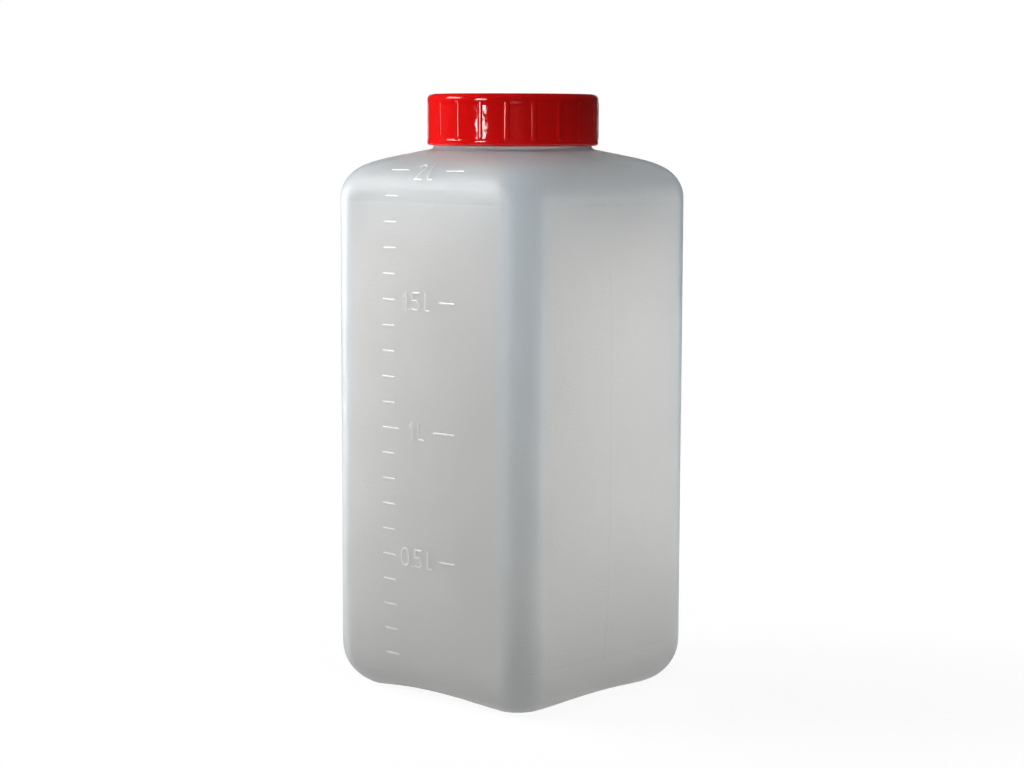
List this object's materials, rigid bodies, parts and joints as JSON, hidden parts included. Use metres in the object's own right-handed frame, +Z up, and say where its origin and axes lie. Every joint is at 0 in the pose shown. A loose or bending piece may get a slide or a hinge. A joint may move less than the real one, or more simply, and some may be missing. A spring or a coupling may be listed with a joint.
{
  "type": "square wide-mouth storage bottle",
  "caption": "Square two-litre wide-mouth plastic storage bottle with rounded shoulders, a raised volume scale on its front and a ribbed red screw cap with a sealing liner.",
  "frame": {"origin": "on the bottle's axis, on the surface that its feet stand on", "axes": "+Z up along the bottle's axis; the face with the volume scale looks along -Y; +X is to the right of that face"},
  "size_m": [0.1067, 0.1072, 0.2313],
  "materials": {
    "natural_polyethylene": "translucent satin",
    "red_cap": "gloss",
    "white_foam": "matte"
  },
  "bodies": {
    "bottle": {"bottle": "natural_polyethylene"},
    "liner": {"sealing_liner": "white_foam"},
    "cap": {"screw_cap": "red_cap"}
  },
  "joints": [
    {"name": "cap_rise", "type": "slide", "parent": "bottle", "child": "liner", "axis": [0, 0, 1], "range_m": [0, 0.021]},
    {"name": "cap_turn", "type": "hinge", "parent": "liner", "child": "cap", "pos_m": [0, 0, 0.22], "axis": [0, 0, 1], "range_deg": [0, 1260]}
  ],
  "couplings": [
    {"joint": "cap_rise", "follows": "cap_turn", "m_per_rad": 0.00095493}
  ]
}
